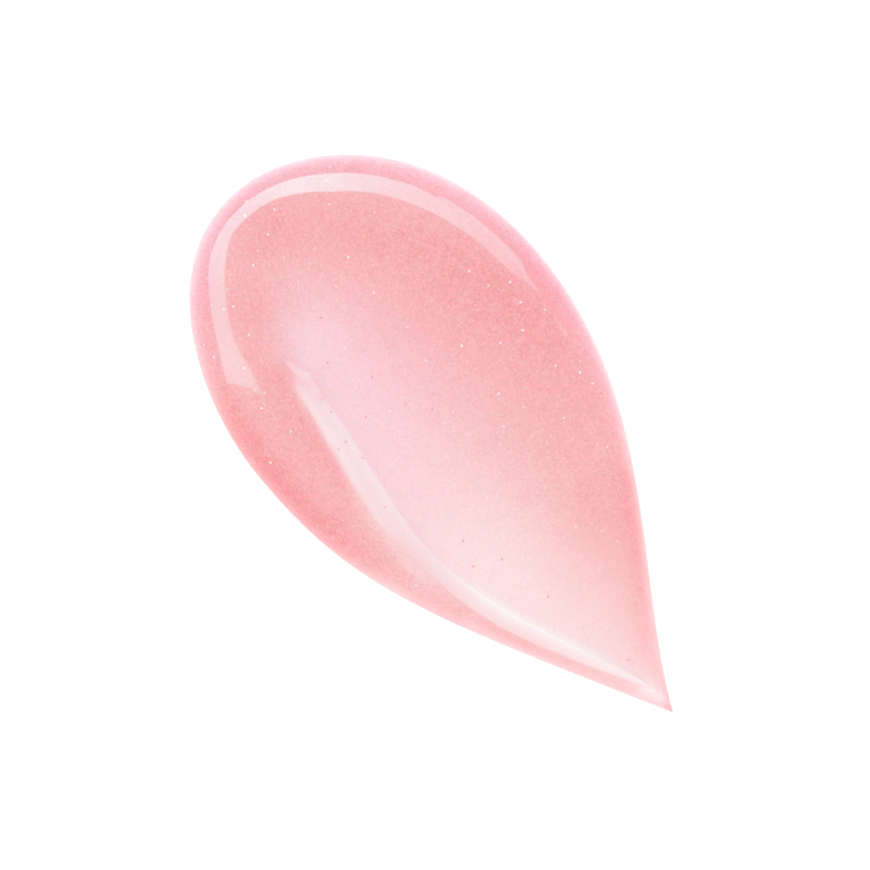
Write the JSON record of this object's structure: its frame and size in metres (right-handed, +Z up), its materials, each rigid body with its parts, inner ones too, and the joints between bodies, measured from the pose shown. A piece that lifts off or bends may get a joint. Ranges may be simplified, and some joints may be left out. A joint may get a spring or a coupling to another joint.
{
  "type": "lip gloss smear",
  "caption": "Teardrop smear of pink lip gloss: a thick dome-edged gel with a shallow dish and a sharp tail, flat underneath, with glitter and pearl flakes in its skin.",
  "frame": {"origin": "middle of the bounding box of the flat underside", "axes": "+X from the round head to the sharp tip, +Z up off the surface it lies on, +Y towards the gentle side of the dish"},
  "size_m": [0.032, 0.0168, 0.0015],
  "materials": {
    "pink_gel": "wet gloss",
    "silver_film": "metallised film",
    "champagne_film": "metallised film",
    "rose_film": "metallised film",
    "pearl_mica": "pearl"
  },
  "bodies": {
    "root": {"gloss_gel": "pink_gel", "silver_glitter": "silver_film", "champagne_glitter": "champagne_film", "rose_glitter": "rose_film", "pearl_platelets": "pearl_mica"}
  },
  "joints": []
}
